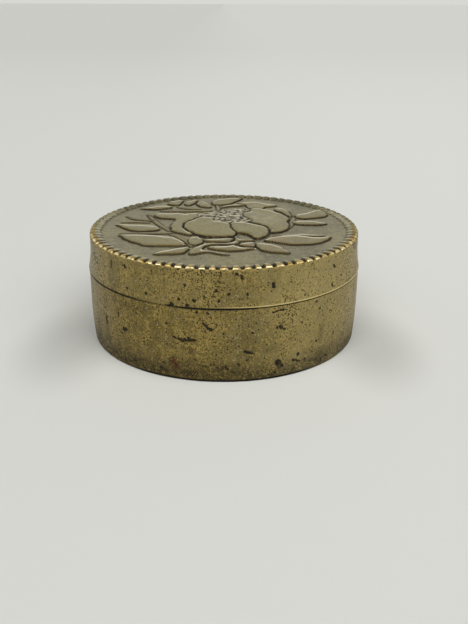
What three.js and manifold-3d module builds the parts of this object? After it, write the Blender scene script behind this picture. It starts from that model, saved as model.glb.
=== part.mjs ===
// A round brass box with a lift-off lid.
// Millimetres, +Z up. The origin is at the middle of the foot, and the front of the box faces -Y.
// The box is a turned band with a base plate let into it and a collar standing up inside. The lid is a
// turned band closed by a plate, whose face has a notched border round a spray of flowers in low relief.
// Thin runs of solder hold each together.
import * as THREE from "three";
import { mergeVertices } from "three/addons/utils/BufferGeometryUtils.js";
import Module from "manifold-3d";

// The box
const SEAM_HEIGHT = 22.5; // where the lid meets the box
const BOX_RADIUS = 42.8; // the box's wall at the seam
const WALL_THICKNESS = 1.9; // at the seam
const FOOT_INSET = 0.6; // how far the foot lies inside the wall's radius at the seam
const TUCK_HEIGHT = 12; // below this the wall curves in to the foot
const BASE_THICKNESS = 1.2;

// The collar that the lid slips over
const COLLAR_THICKNESS = 0.8;
const COLLAR_RISE = 5.6; // above the seam
const COLLAR_DEPTH = 8; // below the seam
const COLLAR_EASE = 0.3; // the eased edge at its top

// The lid
const LID_WALL_HEIGHT = 10;
const MOUTH_STEP = 0.2; // how far the lid's wall stands out over the box's at the seam
const CROWN_INSET = 0.9; // how far the lid's wall draws in from there to the border
const FLARE_HEIGHT = 8.4; // below this height above the seam the wall curves out to its mouth
const FLANGE_THICKNESS = 0.8; // the plate where it lies on the top edge of the lid's wall
const SPIGOT_DEPTH = 0.5; // the step under the plate that fits inside the wall

// The notched border round the plate's face
const BORDER_WIDTH = 3.6;
const BORDER_RISE = 0.7; // the teeth above the field
const BORDER_ROUND = 0.65; // the rounded outer shoulder of the teeth
const TOOTH_COUNT = 84;
const NOTCH_WIDTH = 1.15;

// Clearances and small edges
const SOLDER_GAP = 0.1; // between pieces that are soldered together
const SLIP_GAP = 0.15; // between the collar and the lid
const SEAM_EASE = 0.25; // the two eased edges that make the line at the seam
const FOOT_EASE = 0.35;
const SOLDER_LEG = 0.9; // each leg of a solder fillet

// The relief. Its strokes are drawn for a field of this radius and scaled to the lid's.
const DRAWN_RADIUS = 38.5;
const SHOULDER = 0.75; // how far in from its outline a form reaches its full height
const TIP = 0.45; // the share of a form's height that its tips have
const FLANK = 0.4; // the share of a form's height that stands upright at its outline
const SUNK = 0.4; // how deep the forms and the teeth are rooted in the plate
const STROKE_STEPS = 2; // stations from one point of a stroke to the next
const BEAD_COUNT = 26;
const BEAD_RADIUS = 0.62;
const BEAD_SPREAD = 1.22; // grows the bead cluster with the root of the bead's number
const CLUSTER = [0.2, 14.2]; // the middle of the bead cluster
const CLUSTER_DEPTH = 0.82; // its depth as a share of its width
const MOUND_HEIGHT = 0.3;
const LEAF_HEIGHT = 0.5;
const STEM_HEIGHT = 0.36;

const RING_STEPS = TOOTH_COUNT; // one facet to a tooth
const ARC_STEPS = 2;
const GOLDEN_ANGLE = Math.PI * (3 - Math.sqrt(5));

const lidWallTop = SEAM_HEIGHT + LID_WALL_HEIGHT;
const plateFace = lidWallTop + FLANGE_THICKNESS;
const plateUnderside = lidWallTop - SPIGOT_DEPTH;
const borderTop = plateFace + BORDER_RISE;
const footRadius = BOX_RADIUS - FOOT_INSET;
const boreRadius = BOX_RADIUS - WALL_THICKNESS;
const mouthRadius = BOX_RADIUS + MOUTH_STEP;
const crownRadius = mouthRadius - CROWN_INSET;
const fieldRadius = crownRadius - BORDER_WIDTH;
const collarRadius = boreRadius - SOLDER_GAP;
const collarBottom = SEAM_HEIGHT - COLLAR_DEPTH;
const lidBoreRadius = collarRadius + SLIP_GAP;
const spigotRadius = lidBoreRadius - SOLDER_GAP;

const BRASS = { roughness: 0.42, metalness: 0.9 };
const SOLDER = { color: 0x8c8a80, roughness: 0.6, metalness: 0.8 };

const wasm = await Module();
wasm.setup();

// Eased value that falls from 1 at the given end to 0 over the given reach.
const curl = (distance, reach) => Math.max(0, 1 - distance / reach) ** 2;

const boxOuter = (z) => BOX_RADIUS - FOOT_INSET * curl(z, TUCK_HEIGHT);
const lidOuter = (z) => crownRadius + CROWN_INSET * curl(z - SEAM_HEIGHT, FLARE_HEIGHT);

// Points of an outer wall from low to high, closer together at the low end, where it curves.
function wallPoints(outer, low, high, reach, steps) {
  const curved = Array.from({ length: steps + 1 }, (_, i) => low + (reach - low) * (i / steps) ** 1.3);
  return [...curved, high].map((z) => [outer(z), z]);
}

// Stands a turning made about Y on Z, with a flat at the front.
const upright = (turning) => turning.rotateX(Math.PI / 2).rotateZ(Math.PI / RING_STEPS);

// A solid of revolution about Z from a profile of [radius, height] points. A profile that starts and ends on
// the axis is a solid turning, and any other closes on itself as a ring.
function turned(profile, steps = RING_STEPS) {
  const points = profile.map(([r, z]) => new THREE.Vector2(r, z));
  if (THREE.ShapeUtils.area(points) < 0) points.reverse();
  if (points[0].x > 0) points.push(points[0].clone());
  return upright(new THREE.LatheGeometry(points, steps));
}

function disc(radius, low, high) {
  const blank = new THREE.CylinderGeometry(radius, radius, high - low, RING_STEPS);
  return upright(blank).translate(0, 0, (low + high) / 2);
}

function solidOf(geometry) {
  const bare = geometry.clone();
  bare.deleteAttribute("normal");
  bare.deleteAttribute("uv");
  const merged = mergeVertices(bare, 1e-4);
  const corners = merged.index.array;
  const triVerts = [];
  for (let i = 0; i < corners.length; i += 3) {
    const [a, b, c] = corners.subarray(i, i + 3);
    if (a !== b && b !== c && c !== a) triVerts.push(a, b, c);
  }
  return new wasm.Manifold(
    new wasm.Mesh({
      numProp: 3,
      vertProperties: new Float32Array(merged.attributes.position.array),
      triVerts: new Uint32Array(triVerts),
    }),
  );
}

function geometryOf(solid) {
  const mesh = solid.getMesh();
  const geometry = new THREE.BufferGeometry();
  geometry.setAttribute("position", new THREE.BufferAttribute(new Float32Array(mesh.vertProperties), 3));
  geometry.setIndex(new THREE.BufferAttribute(new Uint32Array(mesh.triVerts), 1));
  geometry.computeVertexNormals();
  return geometry;
}

function boxWall() {
  return turned([
    [boreRadius, 0],
    [footRadius - FOOT_EASE, 0],
    ...wallPoints(boxOuter, FOOT_EASE, SEAM_HEIGHT - SEAM_EASE, TUCK_HEIGHT, 2),
    [BOX_RADIUS - SEAM_EASE, SEAM_HEIGHT],
    [boreRadius, SEAM_HEIGHT],
  ]);
}

const basePlate = () => disc(boreRadius - SOLDER_GAP, 0, BASE_THICKNESS);

function innerCollar() {
  const top = SEAM_HEIGHT + COLLAR_RISE;
  const inside = collarRadius - COLLAR_THICKNESS;
  return turned([
    [inside, collarBottom],
    [collarRadius, collarBottom],
    [collarRadius, top - COLLAR_EASE],
    [collarRadius - COLLAR_EASE, top],
    [inside, top],
  ]);
}

// A run of solder in the corner between a wall's bore and a plate or edge, up or down from it.
function solderRun(bore, z, direction) {
  const profile = [[bore, z], [bore, z + direction * SOLDER_LEG], [bore - SOLDER_LEG, z]];
  return turned(profile, RING_STEPS / 2);
}

function lidWall() {
  const low = SEAM_HEIGHT + SEAM_EASE;
  return turned([
    [lidBoreRadius, SEAM_HEIGHT],
    [mouthRadius - SEAM_EASE, SEAM_HEIGHT],
    ...wallPoints(lidOuter, low, lidWallTop, SEAM_HEIGHT + FLARE_HEIGHT, 2),
    [lidBoreRadius, lidWallTop],
  ]);
}

// One tooth of the border at the front, round at its inner end and longer than it stays at its outer end.
function borderTooth() {
  const middle = fieldRadius + BORDER_WIDTH / 2;
  const half = (Math.PI * middle) / TOOTH_COUNT - NOTCH_WIDTH / 2;
  const past = crownRadius + BORDER_WIDTH;
  const outline = new THREE.Shape();
  outline.moveTo(half, -past);
  outline.lineTo(half, -fieldRadius - half);
  outline.absarc(0, -fieldRadius - half, half, 0, Math.PI, false);
  outline.lineTo(-half, -past);
  const depth = SUNK + BORDER_RISE + BORDER_ROUND;
  const tooth = new THREE.ExtrudeGeometry(outline, { depth, curveSegments: 4, bevelEnabled: false });
  return tooth.translate(0, 0, plateFace - SUNK);
}

// The plate before its relief: a flange with the border's teeth on it, turned to its outer shape, on a spigot
// that fits inside the lid's wall.
function plateBlank() {
  const tooth = borderTooth();
  let flange = solidOf(disc(crownRadius + BORDER_WIDTH, plateUnderside, plateFace));
  for (let i = 0; i < TOOTH_COUNT; i += 1) {
    const angle = (i * 2 * Math.PI) / TOOTH_COUNT;
    flange = flange.add(solidOf(tooth.clone().rotateZ(angle)));
  }
  const shoulder = Array.from({ length: ARC_STEPS + 1 }, (_, i) => {
    const angle = (Math.PI / 2) * (i / ARC_STEPS);
    const inward = BORDER_ROUND * (1 - Math.cos(angle));
    return [crownRadius - inward, borderTop - BORDER_ROUND * (1 - Math.sin(angle))];
  });
  const envelope = turned([[0, lidWallTop], [crownRadius, lidWallTop], ...shoulder, [0, borderTop]]);
  const spigot = disc(spigotRadius, plateUnderside, plateFace - SUNK);
  return flange.intersect(solidOf(envelope)).add(solidOf(spigot));
}

// One form of the relief, swept along a stroke of [x, y, half-width] points: upright flanks, rounded shoulders
// and a flat top. Its tips are lower than its middle.
function stroke(points, height) {
  const scale = fieldRadius / DRAWN_RADIUS;
  const line = new THREE.CatmullRomCurve3(points.map((p) => new THREE.Vector3(...p).multiplyScalar(scale)));
  line.curveType = "centripetal";
  const count = (points.length - 1) * STROKE_STEPS;
  const corners = [];
  for (let i = 0; i <= count; i += 1) {
    const { x, y, z: half } = line.getPoint(i / count);
    const ahead = line.getTangent(i / count);
    const side = new THREE.Vector2(-ahead.y, ahead.x).normalize();
    const top = height * Math.min(1, TIP + half / (2 * SHOULDER));
    const inner = half - Math.min(SHOULDER, half * 0.5);
    const profile = [[half, -SUNK], [half, top * FLANK], [inner, top]];
    const section = [...profile, ...profile.map(([offset, z]) => [-offset, z]).reverse()];
    for (const [offset, z] of section) {
      corners.push(x + side.x * offset, y + side.y * offset, plateFace + z);
    }
  }
  const faces = [];
  const around = 6;
  for (let i = 0; i < count; i += 1) {
    for (let k = 0; k < around; k += 1) {
      const a = i * around + k;
      const b = i * around + ((k + 1) % around);
      faces.push(a, b, b + around, a, b + around, a + around);
    }
  }
  for (let k = 1; k < around - 1; k += 1) {
    const last = count * around;
    faces.push(0, k + 1, k, last, last + k, last + k + 1);
  }
  const geometry = new THREE.BufferGeometry();
  geometry.setAttribute("position", new THREE.Float32BufferAttribute(corners, 3));
  return geometry.setIndex(faces);
}

// The petals of the open flower, from the front one to the one behind, each a little lower than the last.
const PETALS = [
  { height: 0.7, points: [[-6.4, 10.9, 0.3], [-6.3, 9.2, 2.6], [-6.3, 5.5, 5], [-5.5, 2, 7.1],
    [-5.2, -2, 7.3], [-4, -6, 7.1], [-2.6, -9.2, 6], [-1.3, -11.4, 3.9], [-1, -12.2, 1]] },
  { height: 0.64, points: [[4.6, 5, 0.6], [5.2, 3, 3], [7.2, 0, 4.8], [8.1, -3, 5.4], [8.8, -6, 4.9],
    [9.6, -8.5, 3.8], [10.4, -11, 2.3], [9.9, -13.6, 0.5]] },
  { height: 0.58, points: [[10.6, 22.6, 0.6], [12.2, 19.5, 3.4], [12.6, 17, 5.2], [13.3, 13, 6.6],
    [14.8, 9, 6.2], [15.2, 5, 5.4], [16.9, 1, 3.8], [17.1, -3, 2.8], [15.7, -6.8, 0.8]] },
  { height: 0.52, points: [[-8.2, 14.3, 1], [-11, 12.8, 3.2], [-14, 12.2, 3.2], [-17.5, 12.7, 3.3],
    [-21, 13.4, 2.4], [-23.1, 13.2, 0.6]] },
  { height: 0.46, points: [[-13.2, 9.6, 2.2], [-14, 6, 2], [-15, 2, 1.8], [-14.8, -2, 1.7],
    [-13.6, -5.5, 1.8], [-11.6, -8.3, 1], [-10.6, -9.6, 0.4]] },
  { height: 0.46, points: [[11.4, 22.3, 2], [10.9, 24.3, 2.8], [12, 26.6, 4.4], [11, 29, 4.5],
    [10.2, 31, 2.9], [10.6, 32.3, 0.6]] },
];

const LEAVES = [
  [[5.6, 37, 0.4], [3.4, 35.4, 2.2], [0.5, 33, 3.6], [-1.8, 30, 3], [-3.4, 27.8, 0.7]],
  [[-0.6, 24.4, 0.4], [1.6, 26.2, 1.1], [4.5, 27.4, 1], [7, 27.3, 0.4]],
  [[-28.6, 22.5, 0.4], [-25, 23.1, 1.6], [-21.5, 24.2, 1.9], [-18.2, 24.6, 0.5]],
  [[-34.3, 1.6, 0.4], [-31, -0.4, 2.2], [-27, -1.6, 3.3], [-23.5, -2.1, 2.6], [-20.6, -2.6, 0.8]],
  [[-33, 5.2, 0.4], [-29, 5.8, 1.2], [-24.8, 5.4, 0.7]],
  [[-32, -9.2, 0.4], [-28.8, -11.8, 3], [-24.5, -14, 5], [-20, -15.7, 5.4], [-15.8, -17.2, 3.9],
    [-12.8, -18.9, 1.6], [-11.4, -19.9, 0.4]],
  [[-20, -27.9, 0.4], [-16.5, -26.6, 1.8], [-13, -25, 2.2], [-11, -23.3, 0.8]],
  [[-4.6, -22.2, 0.4], [-1, -22.8, 1.6], [2.5, -23, 2.2], [6, -23.2, 1.4], [9.2, -23, 0.4]],
  [[-5.4, -15, 1], [-2, -15.2, 1.3], [1.6, -14.9, 1]],
  [[4.6, -19.6, 0.4], [6.4, -19.4, 1.6], [8.6, -19.2, 1.7]],
  [[9.8, -18.4, 0.8], [11.6, -20.7, 2.6], [13.7, -23, 3.3], [16, -25.4, 2.4], [18.6, -27.5, 0.4]],
  [[12.2, -15, 0.5], [16, -14.2, 3.1], [20, -14.6, 4.5], [24, -15, 4.2], [28, -14.7, 2.8], [31, -13, 1.3],
    [32.6, -11.3, 0.4]],
  [[24, 12, 0.9], [26.8, 12.6, 3], [29.7, 14.5, 3.4], [31.6, 16.6, 2.4], [32.4, 19.2, 0.4]],
  [[23.4, 4.6, 0.6], [26, 4.4, 2], [29, 4.1, 2.1], [33, 3.4, 0.4]],
  [[17.8, 22.4, 0.4], [20, 20.2, 1.1], [21.3, 16.5, 1], [21.9, 12, 0.4]],
];

const BUDS = [
  [[-14.8, 34.8, 0.4], [-16.4, 32.4, 1.6], [-17.6, 29.8, 1.9], [-18, 27.6, 0.9]],
  [[-9.8, 34.2, 0.4], [-11.2, 31.8, 1.5], [-12.6, 29, 1.5], [-13.1, 27, 0.5]],
  [[-8.4, 33.2, 0.4], [-7.8, 30.5, 1.4], [-6.9, 27.5, 1.9], [-5.4, 24.8, 0.8]],
  [[-8.6, -13, 0.4], [-8.7, -14.4, 1.8], [-8.5, -16.4, 2], [-8.6, -18.3, 1.3], [-8.8, -19.6, 0.4]],
];

const STEMS = [
  [[-9.6, -28, 0.6], [-8.4, -25, 1.4], [-6.9, -21.7, 1.2], [-4, -19.2, 0.8], [0, -18.7, 0.75],
    [2.8, -17.9, 1], [4, -15.5, 0.9], [3.4, -12.8, 0.5]],
  [[4, -15.3, 0.6], [6.5, -15.2, 0.6], [8.8, -15.4, 0.4]],
  [[-7.4, -26, 0.9], [-5, -25.7, 0.8], [-2, -27, 0.7], [1.3, -28.8, 0.4]],
  [[-16.4, -8.4, 0.4], [-13.6, -11.6, 0.5], [-11.4, -15.4, 0.5]],
  [[-32, -7.3, 0.4], [-26, -7, 0.7], [-20, -7.1, 0.8], [-17, -6.8, 0.4]],
  [[-25.5, 14.5, 0.4], [-23, 8, 0.7], [-20.5, 2, 0.7], [-17.5, -3.8, 0.5]],
  [[-32.3, 12.5, 0.4], [-30, 9.8, 0.5], [-26, 8.4, 0.5], [-23.4, 7.6, 0.4]],
  [[-16, 24.8, 0.5], [-12, 22.6, 0.6], [-8.5, 22.2, 0.5]],
  [[-21, 19.6, 0.5], [-16, 20.2, 0.8], [-10, 20.4, 0.9], [-4.5, 20, 0.8]],
  [[-2.3, 27, 0.5], [-2.1, 23.4, 0.7], [-2.4, 20.4, 0.7]],
  [[15, -9.9, 0.4], [20, -8.8, 0.5], [24, -8.3, 0.5], [27, -9.2, 0.5], [31, -9.8, 0.4]],
  [[23.4, 9.4, 0.5], [22.6, 6.4, 0.7], [22.2, 2, 0.4]],
];

// The cushion of stamens in the flower: small beads wound outwards over a low mound.
const MOUND = [[-7, 14.2, 1.6], [-3.6, 14.6, 5], [1, 14.4, 6.4], [5, 15.6, 5], [7.6, 18.6, 2]];

function beadAt(i) {
  const scale = fieldRadius / DRAWN_RADIUS;
  const reach = BEAD_SPREAD * Math.sqrt(i + 0.5);
  const x = CLUSTER[0] + reach * Math.cos(i * GOLDEN_ANGLE);
  const y = CLUSTER[1] + reach * Math.sin(i * GOLDEN_ANGLE) * CLUSTER_DEPTH;
  const bead = new THREE.SphereGeometry(BEAD_RADIUS * scale, 6, 4).rotateX(Math.PI / 2);
  return bead.translate(x * scale, y * scale, plateFace);
}

function lidPlate() {
  const forms = [
    ...PETALS.map(({ points, height }) => stroke(points, height)),
    ...LEAVES.map((points) => stroke(points, LEAF_HEIGHT)),
    ...BUDS.map((points) => stroke(points, LEAF_HEIGHT)),
    ...STEMS.map((points) => stroke(points, STEM_HEIGHT)),
    stroke(MOUND, MOUND_HEIGHT),
    ...Array.from({ length: BEAD_COUNT }, (_, i) => beadAt(i)),
  ];
  let plate = plateBlank();
  for (const form of forms) plate = plate.add(solidOf(form));
  return geometryOf(plate);
}

const assembly = new THREE.Group();

function addPiece(name, geometry, look) {
  const piece = new THREE.Mesh(geometry, new THREE.MeshStandardMaterial(look));
  piece.name = name;
  assembly.add(piece);
}

addPiece("box_wall", boxWall(), { color: 0x7a6a3c, ...BRASS });
addPiece("base_plate", basePlate(), { color: 0x766838, ...BRASS });
addPiece("inner_collar", innerCollar(), { color: 0x8c7a42, ...BRASS });
addPiece("base_solder", solderRun(boreRadius, BASE_THICKNESS, 1), SOLDER);
addPiece("collar_solder", solderRun(boreRadius, collarBottom, -1), SOLDER);
addPiece("lid_wall", lidWall(), { color: 0x80703f, ...BRASS });
addPiece("lid_plate", lidPlate(), { color: 0x8b8560, ...BRASS });
addPiece("lid_solder", solderRun(lidBoreRadius, plateUnderside, -1), SOLDER);

export default assembly;
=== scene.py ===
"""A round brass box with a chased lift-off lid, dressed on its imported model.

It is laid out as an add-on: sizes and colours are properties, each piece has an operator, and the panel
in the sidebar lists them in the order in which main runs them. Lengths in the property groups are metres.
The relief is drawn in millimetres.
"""

import math
from types import SimpleNamespace

import bpy
import numpy as np
from mathutils import Matrix, Vector


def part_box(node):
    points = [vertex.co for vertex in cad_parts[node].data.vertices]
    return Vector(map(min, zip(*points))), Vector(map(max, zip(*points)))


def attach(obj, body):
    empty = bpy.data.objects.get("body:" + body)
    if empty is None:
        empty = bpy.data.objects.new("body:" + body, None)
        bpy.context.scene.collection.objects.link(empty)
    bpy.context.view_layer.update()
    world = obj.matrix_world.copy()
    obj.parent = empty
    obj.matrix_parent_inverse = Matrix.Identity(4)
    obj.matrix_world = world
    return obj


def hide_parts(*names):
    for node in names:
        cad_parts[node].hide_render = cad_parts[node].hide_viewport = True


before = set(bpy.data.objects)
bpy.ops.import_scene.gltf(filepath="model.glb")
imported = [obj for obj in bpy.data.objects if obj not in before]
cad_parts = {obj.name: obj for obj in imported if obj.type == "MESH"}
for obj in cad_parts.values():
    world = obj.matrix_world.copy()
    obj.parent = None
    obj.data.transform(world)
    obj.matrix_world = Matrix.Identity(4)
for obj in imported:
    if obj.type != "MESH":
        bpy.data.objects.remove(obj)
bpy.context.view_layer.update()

bl_info = {
    "name": "Chased brass box",
    "version": (1, 0, 0),
    "blender": (4, 5, 0),
    "location": "3D View > Sidebar > Brass box",
    "description": "Makes a round brass box with a chased lid",
    "category": "Object",
}

MM = 0.001

LID_WALL_LOW, LID_WALL_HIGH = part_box("lid_wall")
_, BOX_WALL_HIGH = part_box("box_wall")
COLLAR_LOW, COLLAR_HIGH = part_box("inner_collar")
_, BASE_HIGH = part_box("base_plate")
SEAM = BOX_WALL_HIGH.z / MM

# Sizes of the solids that the boxes above don't show.
SPIGOT_RADIUS = 40.85 * MM
SPIGOT_DEPTH = 0.5 * MM
LID_BORE = 40.95 * MM
BOX_BORE = 40.9 * MM
BORE_GAP = 0.1 * MM
COLLAR_THICKNESS = 0.8 * MM
SOLDER_LEG = 0.9 * MM
STEP_RADIUS = 41.6 * MM
HAND_DEPTH = 0.035 * MM

# The plate's face is a grid of this many cells each way. Its outermost rings make the rounded edge, and the
# next ones carry the border.
PLATE_CELLS = 294
EDGE_RINGS = 5
BORDER_RINGS = 20

# A place this many millimetres lower than those round it counts as a full hollow.
HOLLOW_DEPTH = 0.16

# Edges steeper than these stay sharp.
TURNED_ANGLE = math.radians(38)
CHASED_ANGLE = math.radians(70)
FLOOR_SIZE = 400


def length_prop(name, description, value):
    """A length, written in millimetres and kept in metres."""
    return bpy.props.FloatProperty(name=name, description=description, default=value * MM, unit="LENGTH")


def angle_prop(name, description, degrees):
    angle = math.radians(degrees)
    return bpy.props.FloatProperty(name=name, description=description, default=angle, subtype="ANGLE")


def number_prop(name, description, value):
    return bpy.props.FloatProperty(name=name, description=description, default=value)


def count_prop(name, description, value, least):
    return bpy.props.IntProperty(name=name, description=description, default=value, min=least)


def colour_prop(name, description, value):
    return bpy.props.FloatVectorProperty(name=name, description=description, default=value, subtype="COLOR")


class BorderSizes(bpy.types.PropertyGroup):
    crown: length_prop("Crown", "Radius of the lid under the border", 42.1)
    teeth: count_prop("Teeth", "Teeth round the lid", 84, 12)
    width: length_prop("Width", "From the field to the lid's edge", 3.6)
    rise: length_prop("Rise", "Height of the teeth above the field", 0.7)
    dip: length_prop("Dip", "How far the lip outside a notch lies below the teeth", 0.5)
    root: length_prop("Root", "Height of the teeth at their inner ends", 0.48)
    notch: length_prop("Notch", "Width of a notch between two teeth", 0.92)
    shoulder: length_prop("Shoulder", "Radius of the rounded edge", 0.85)
    unevenness: number_prop("Unevenness", "How far a tooth strays, as a share of the pitch", 0.1)


class ReliefSizes(bpy.types.PropertyGroup):
    flange: length_prop("Flange", "Thickness of the plate where it lies on the wall", 0.8)
    slope: length_prop("Slope", "Width of a form's rounded shoulder", 2)
    steep: number_prop("Steep share", "Share of a form's height that stands upright at its outline", 0.5)
    line_depth: length_prop("Line depth", "Depth of the chased line round a form", 0.2)
    line_width: length_prop("Line width", "Width of the chased line round a form", 0.34)


class WallSizes(bpy.types.PropertyGroup):
    steps: count_prop("Steps", "Faces round a turned piece", 336, 24)
    seam_round: length_prop("Seam edges", "Radius of the edges that meet at the seam", 0.25)
    foot_round: length_prop("Foot edge", "Radius of the foot's outer edge", 0.35)
    mouth_radius: length_prop("Mouth", "Radius of the lid at the seam", 43)
    flare_height: length_prop("Flare", "Height over which the lid flares", 8.4)
    box_radius: length_prop("Box", "Radius of the box at the seam", 42.8)
    foot_inset: length_prop("Foot inset", "How far the foot lies inside that radius", 0.6)
    tuck_height: length_prop("Tuck", "Height over which the wall curves in to the foot", 12)


class FinishColours(bpy.types.PropertyGroup):
    brass: colour_prop("Brass", "Bare brass", (0.43, 0.318, 0.1))
    bright: colour_prop("Bright", "Worn edges", (0.95, 0.82, 0.5))
    patina: colour_prop("Patina", "Olive tarnish", (0.1, 0.077, 0.028))
    stain: colour_prop("Stain", "Dark stains and pits", (0.014, 0.01, 0.005))
    copper: colour_prop("Copper", "Reddish patches", (0.5, 0.3, 0.2))
    solder: colour_prop("Solder", "Solder runs", (0.36, 0.34, 0.28))


class StageSettings(bpy.types.PropertyGroup):
    distance: length_prop("Distance", "Camera to the middle of the foot", 251.03)
    elevation: angle_prop("Elevation", "Camera above the surface", 23.228)
    pitch: angle_prop("Pitch", "Camera tilt below level", 22.345)
    yaw: angle_prop("Yaw", "Camera turn to the right", 0.797)
    roll: angle_prop("Roll", "Camera roll", 0.206)
    lens: number_prop("Lens", "Focal length in mm", 43.26)
    surface: colour_prop("Surface", "Pale surface", (0.785, 0.79, 0.752))
    backdrop: colour_prop("Backdrop", "Pale room round the surface", (0.685, 0.69, 0.65))
    ceiling: number_prop("Ceiling", "Brightness overhead, as a share of the room's", 0.25)
    ceiling_edge: number_prop("Ceiling edge", "Height at which the room turns darker, as a sine", 0.75)
    fill: number_prop("Fill", "Share of the room's light that falls on dull surfaces", 0.45)
    lamp_strength: number_prop("Lamp", "Strength of the soft lamp", 2.6)
    lamp_angle: angle_prop("Lamp size", "Angle over which the lamp spreads", 75)
    strip_power: number_prop("Strip", "Power of the strip lamp in watts", 6)


# The relief, in millimetres from the lid's middle, seen from above with the front at -Y.
# A petal is its height and a closed outline. Each is higher than the one before it.
PETALS = [
    (0.4, [(4.5, 30.3), (7.8, 31.5), (11.2, 32.4), (13.2, 31), (15.2, 29), (18.2, 27.6), (18, 26),
     (15, 24.8), (13.7, 23.6), (13.2, 22.2), (9.5, 22), (7.9, 24.5), (7.6, 27.3), (6, 28.6)]),
    (0.48, [(-8.3, 15.6), (-10, 16.3), (-12, 16), (-13.1, 14.9), (-14.2, 15.9), (-16, 16.4), (-18, 15.6),
     (-20, 16.2), (-22, 15.7), (-23.2, 14), (-22.8, 12), (-21.4, 10.3), (-19, 9.5), (-16.6, 9), (-16, 7.8),
     (-16.4, 5), (-17.1, 1), (-16.8, -2), (-16.4, -4.6), (-15.3, -6.2), (-13, -8.1), (-10.3, -9.8),
     (-9.9, -7.8), (-11.8, -5), (-13, -1), (-13, 3), (-11.8, 6), (-10.1, 8), (-9.4, 9.8), (-8, 11.4),
     (-7.6, 13.2)]),
    (0.56, [(9.2, 21.9), (12, 22.4), (13.6, 21.2), (16, 19.3), (18.5, 16), (20.6, 11.8), (21.4, 8.2),
     (20.4, 5.6), (20.9, 2), (20.6, -1), (19.3, -4.4), (17.2, -6.5), (14.6, -7.1), (14.2, -4),
     (13.4, -0.5), (11.5, 2.3), (9.1, 4.5), (9.2, 7.6), (7.6, 10.4), (6.5, 12.5), (6.4, 14.6), (7.2, 17),
     (8.8, 18.3), (8.9, 20)]),
    (0.64, [(2.3, 4.1), (4.5, 4.8), (7, 4.1), (9.2, 2.5), (11.5, 0.8), (13.2, -1.4), (13.9, -4),
     (13.8, -7), (13.4, -9.5), (12, -12), (10, -13.7), (8.9, -12.8), (8.3, -11), (7.1, -9.2), (5.4, -7.9),
     (4, -7.4), (3.3, -5.5), (2.4, -3), (2.1, 0)]),
    (0.72, [(1.7, 2.6), (0.3, 4.5), (-1.5, 5.2), (-3, 6), (-3.6, 8.4), (-4.6, 10), (-6.5, 10.8),
     (-8.2, 10), (-9.5, 8), (-10.2, 6.6), (-12, 4.6), (-12.8, 1.5), (-12.6, -2), (-11.5, -5), (-9.6, -8),
     (-8, -10.1), (-5, -11.7), (-1, -12.2), (2.5, -11.6), (3.6, -9), (3.4, -6.5), (2.4, -3.5), (2, 0)]),
]

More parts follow.
